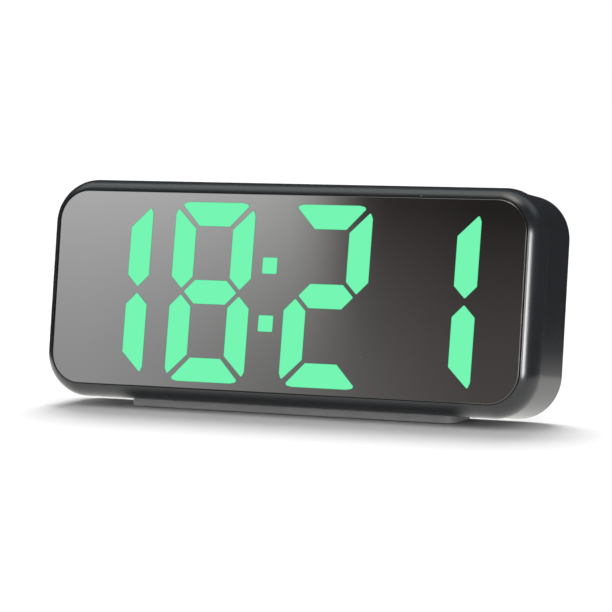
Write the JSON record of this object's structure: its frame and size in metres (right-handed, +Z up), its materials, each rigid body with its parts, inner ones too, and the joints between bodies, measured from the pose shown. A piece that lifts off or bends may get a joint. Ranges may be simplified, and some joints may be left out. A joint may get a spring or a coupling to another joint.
{
  "type": "alarm clock",
  "caption": "Digital alarm clock with a mirror front and green seven-segment time, in a dark rounded slab case that leans back on a wedge foot, with controls and battery bay behind.",
  "frame": {"origin": "centre of the rubber pad's underside, on the surface the clock stands on", "axes": "+Z up, display faces -Y, +X to the right of someone facing the display"},
  "size_m": [0.16, 0.0333, 0.0679],
  "materials": {
    "case_plastic": "semi-gloss dark blue-black moulding, fine texture",
    "mirror": "dark half-mirror",
    "tape": "black adhesive foam",
    "film": "translucent",
    "light_box": "white moulding",
    "segment_glow": "lit green resin",
    "segment_resin": "milky resin",
    "board": "green solder mask",
    "led": "moulded",
    "screw_steel": "zinc plated",
    "chip_plastic": "moulded black",
    "can_metal": "drawn can",
    "pin_metal": "plated",
    "spring_steel": "nickel plated",
    "usb_steel": "drawn shell",
    "usb_plastic": "moulded",
    "wire_cover": "PVC",
    "cell_jacket": "plain jacket",
    "switch_plastic": "moulded",
    "plunger_plastic": "moulded",
    "button_plastic": "satin",
    "foot_plastic": "satin mid grey",
    "pad_rubber": "matte",
    "label_film": "blank satin film"
  },
  "bodies": {
    "case": {"battery_cell_1": "cell_jacket", "battery_cell_2": "cell_jacket", "battery_cell_3": "cell_jacket", "battery_springs": "spring_steel", "battery_wires": "wire_cover", "board_header": "chip_plastic", "board_socket": "chip_plastic", "buzzer": "chip_plastic", "capacitor": "can_metal", "case_screws": "screw_steel", "chip_resistors": "chip_plastic", "contact_plates": "pin_metal", "control_board": "board", "control_screws": "screw_steel", "controller_chip": "chip_plastic", "crystal": "can_metal", "diffuser_film": "film", "display_board": "board", "display_reflector": "light_box", "display_screws": "screw_steel", "driver_chip": "chip_plastic", "foot_pad": "pad_rubber", "foot_screws": "screw_steel", "front_bezel": "case_plastic", "header_pins": "pin_metal", "led_chips": "led", "lit_segments": "segment_glow", "microphone": "chip_plastic", "mirror_panel": "mirror", "mirror_tape": "tape", "rating_label": "label_film", "rear_shell": "case_plastic", "slider_body": "switch_plastic", "switch_alarm": "switch_plastic", "switch_brightness": "switch_plastic", "switch_down": "switch_plastic", "switch_mode": "switch_plastic", "switch_up": "switch_plastic", "temperature_sensor": "chip_plastic", "unlit_segments": "segment_resin", "usb_shell": "usb_steel", "usb_tongue": "usb_plastic", "wedge_foot": "foot_plastic"},
    "key_alarm": {"button_alarm": "button_plastic", "plunger_alarm": "plunger_plastic"},
    "key_brightness": {"button_brightness": "button_plastic", "plunger_brightness": "plunger_plastic"},
    "key_down": {"button_down": "button_plastic", "plunger_down": "plunger_plastic"},
    "key_mode": {"button_mode": "button_plastic", "plunger_mode": "plunger_plastic"},
    "key_up": {"button_up": "button_plastic", "plunger_up": "plunger_plastic"},
    "slide_knob": {"slider_knob": "button_plastic"},
    "door": {"battery_door": "case_plastic"}
  },
  "joints": [
    {"name": "press_alarm", "type": "slide", "parent": "case", "child": "key_alarm", "axis": [0, -0.9907, 0.1357], "range_m": [0, 0.0005], "stiffness_N_per_m": 400},
    {"name": "press_brightness", "type": "slide", "parent": "case", "child": "key_brightness", "axis": [0, -0.9907, 0.1357], "range_m": [0, 0.0005], "stiffness_N_per_m": 400},
    {"name": "press_down", "type": "slide", "parent": "case", "child": "key_down", "axis": [0, -0.9907, 0.1357], "range_m": [0, 0.0005], "stiffness_N_per_m": 400},
    {"name": "press_mode", "type": "slide", "parent": "case", "child": "key_mode", "axis": [0, -0.9907, 0.1357], "range_m": [0, 0.0005], "stiffness_N_per_m": 400},
    {"name": "press_up", "type": "slide", "parent": "case", "child": "key_up", "axis": [0, -0.9907, 0.1357], "range_m": [0, 0.0005], "stiffness_N_per_m": 400},
    {"name": "slide_switch", "type": "slide", "parent": "case", "child": "slide_knob", "axis": [1, 0, 0], "range_m": [0, 0.002]},
    {"name": "door_pivot", "type": "hinge", "parent": "case", "child": "door", "pos_m": [0, 0.00996, 0.00645], "axis": [-1, 0, 0], "range_deg": [0, 75]}
  ]
}
